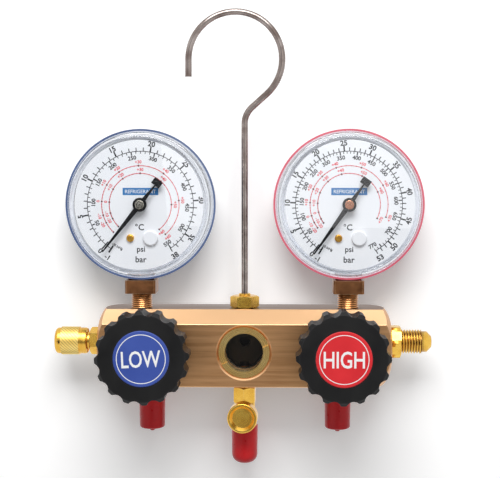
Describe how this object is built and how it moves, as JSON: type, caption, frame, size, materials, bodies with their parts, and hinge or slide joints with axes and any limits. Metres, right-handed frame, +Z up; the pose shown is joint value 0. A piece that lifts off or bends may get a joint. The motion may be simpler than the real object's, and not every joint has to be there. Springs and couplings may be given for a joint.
{
  "type": "refrigerant manifold gauge set",
  "caption": "Brass manifold bar with blue low-side and red high-side dial gauges, lobed valve knobs, sight glass, capped flare ports and a wire hanging hook.",
  "frame": {"origin": "centre of the flat back face of the manifold block", "axes": "+X along the block towards the high side, +Y out of the back, +Z up towards the hook, so the front looks along -Y"},
  "size_m": [0.1742, 0.0515, 0.21],
  "materials": {
    "block_brass": "brushed",
    "fitting_brass": "satin",
    "wire_steel": "polished",
    "sight_glass": "clear",
    "seal_rubber": "matte",
    "cap_vinyl": "soft",
    "stem_brass": "turned",
    "knob_black": "moulded",
    "screw_steel": "satin",
    "low_label": "printed",
    "high_label": "printed",
    "low_case_paint": "gloss",
    "high_case_paint": "gloss",
    "window_clear": "clear",
    "dial_white": "satin",
    "screw_brass": "satin",
    "socket_brass": "turned",
    "tube_bronze": "drawn",
    "movement_brass": "satin",
    "pointer_black": "matte"
  },
  "bodies": {
    "block": {"manifold_block": "block_brass", "gallery_plug": "fitting_brass", "sight_glass_seal": "seal_rubber", "sight_glass": "sight_glass", "sight_glass_ring": "fitting_brass", "hook_nut": "fitting_brass", "right_end_port": "fitting_brass", "left_end_port": "fitting_brass", "centre_port_tee": "fitting_brass", "low_hose_port": "fitting_brass", "high_hose_port": "fitting_brass", "low_bonnet": "fitting_brass", "high_bonnet": "fitting_brass", "low_gauge_case": "low_case_paint", "low_gauge_window": "window_clear", "low_dial": "dial_white", "low_dial_screw": "screw_brass", "low_dial_stud": "dial_white", "low_gauge_socket": "socket_brass", "low_bourdon_tube": "tube_bronze", "low_movement_frame": "movement_brass", "high_gauge_case": "high_case_paint", "high_gauge_window": "window_clear", "high_dial": "dial_white", "high_dial_screw": "screw_brass", "high_dial_stud": "dial_white", "high_gauge_socket": "socket_brass", "high_bourdon_tube": "tube_bronze", "high_movement_frame": "movement_brass"},
    "hook": {"hanging_hook": "wire_steel"},
    "low_spindle_carrier": {"low_stem_seal": "seal_rubber"},
    "low_spindle": {"low_valve_stem": "stem_brass", "low_knob": "knob_black", "low_knob_label": "low_label", "low_knob_screw": "screw_steel"},
    "low_pointer_works": {"low_pinion": "movement_brass", "low_pointer_hub": "movement_brass", "low_pointer": "pointer_black"},
    "low_sector": {"low_sector_gear": "movement_brass"},
    "low_link": {"low_movement_link": "movement_brass"},
    "high_spindle_carrier": {"high_stem_seal": "seal_rubber"},
    "high_spindle": {"high_valve_stem": "stem_brass", "high_knob": "knob_black", "high_knob_label": "high_label", "high_knob_screw": "screw_steel"},
    "high_pointer_works": {"high_pinion": "movement_brass", "high_pointer_hub": "movement_brass", "high_pointer": "pointer_black"},
    "high_sector": {"high_sector_gear": "movement_brass"},
    "high_link": {"high_movement_link": "movement_brass"},
    "left_cap": {"left_port_cap": "fitting_brass"},
    "branch_cap_body": {"branch_cap": "fitting_brass"},
    "centre_cap": {"centre_port_cap": "cap_vinyl"},
    "low_cap": {"low_port_cap": "cap_vinyl"},
    "high_cap": {"high_port_cap": "cap_vinyl"}
  },
  "joints": [
    {"name": "hook_swivel", "type": "hinge", "parent": "block", "child": "hook", "pos_m": [0, -0.01335, 0.0175], "axis": [0, 0, 1], "continuous": true},
    {"name": "low_stem_lift", "type": "slide", "parent": "block", "child": "low_spindle_carrier", "axis": [0, -1, 0], "range_m": [0, 0.0034]},
    {"name": "low_knob_turn", "type": "hinge", "parent": "low_spindle_carrier", "child": "low_spindle", "pos_m": [-0.0438, -0.036, -0.0005], "axis": [0, -1, 0], "range_deg": [0, 900]},
    {"name": "low_pointer_turn", "type": "hinge", "parent": "block", "child": "low_pointer_works", "pos_m": [-0.0478, -0.012, 0.0653], "axis": [0, 1, 0], "range_deg": [-7.49, 284.6], "stiffness_Nm_per_rad": 0.0005},
    {"name": "low_sector_turn", "type": "hinge", "parent": "block", "child": "low_sector", "pos_m": [-0.06006, -0.01, 0.05502], "axis": [0, 1, 0], "range_deg": [-40.86, 1.27]},
    {"name": "low_link_turn", "type": "hinge", "parent": "low_sector", "child": "low_link", "pos_m": [-0.06177, -0.014, 0.05971], "axis": [0, 1, 0], "range_deg": [-1.84, 58.72]},
    {"name": "high_stem_lift", "type": "slide", "parent": "block", "child": "high_spindle_carrier", "axis": [0, -1, 0], "range_m": [0, 0.0034]},
    {"name": "high_knob_turn", "type": "hinge", "parent": "high_spindle_carrier", "child": "high_spindle", "pos_m": [0.0438, -0.036, -0.0005], "axis": [0, -1, 0], "range_deg": [0, 900]},
    {"name": "high_pointer_turn", "type": "hinge", "parent": "block", "child": "high_pointer_works", "pos_m": [0.0478, -0.012, 0.0653], "axis": [0, 1, 0], "range_deg": [-5.52, 292.6], "stiffness_Nm_per_rad": 0.0005},
    {"name": "high_sector_turn", "type": "hinge", "parent": "block", "child": "high_sector", "pos_m": [0.03554, -0.01, 0.05502], "axis": [0, 1, 0], "range_deg": [-42, 0.99]},
    {"name": "high_link_turn", "type": "hinge", "parent": "high_sector", "child": "high_link", "pos_m": [0.03383, -0.014, 0.05971], "axis": [0, 1, 0], "range_deg": [-1.44, 60.59]},
    {"name": "left_port_cap_off", "type": "slide", "parent": "block", "child": "left_cap", "axis": [-1, 0, 0], "range_m": [0, 0.0165]},
    {"name": "branch_cap_off", "type": "slide", "parent": "block", "child": "branch_cap_body", "axis": [-0.061, -0.9981, 0], "range_m": [0, 0.0075]},
    {"name": "centre_port_cap_off", "type": "slide", "parent": "block", "child": "centre_cap", "axis": [0, 0, -1], "range_m": [0, 0.0185]},
    {"name": "low_port_cap_off", "type": "slide", "parent": "block", "child": "low_cap", "axis": [0, 0, -1], "range_m": [0, 0.0185]},
    {"name": "high_port_cap_off", "type": "slide", "parent": "block", "child": "high_cap", "axis": [0, 0, -1], "range_m": [0, 0.0185]}
  ],
  "couplings": [
    {"joint": "low_stem_lift", "follows": "low_knob_turn", "m_per_rad": 0.0002069},
    {"joint": "low_sector_turn", "follows": "low_pointer_turn", "ratio": -0.14286},
    {"joint": "low_link_turn", "follows": "low_pointer_turn", "ratio": 0.20527},
    {"joint": "high_stem_lift", "follows": "high_knob_turn", "m_per_rad": 0.0002069},
    {"joint": "high_sector_turn", "follows": "high_pointer_turn", "ratio": -0.14286},
    {"joint": "high_link_turn", "follows": "high_pointer_turn", "ratio": 0.20604}
  ]
}
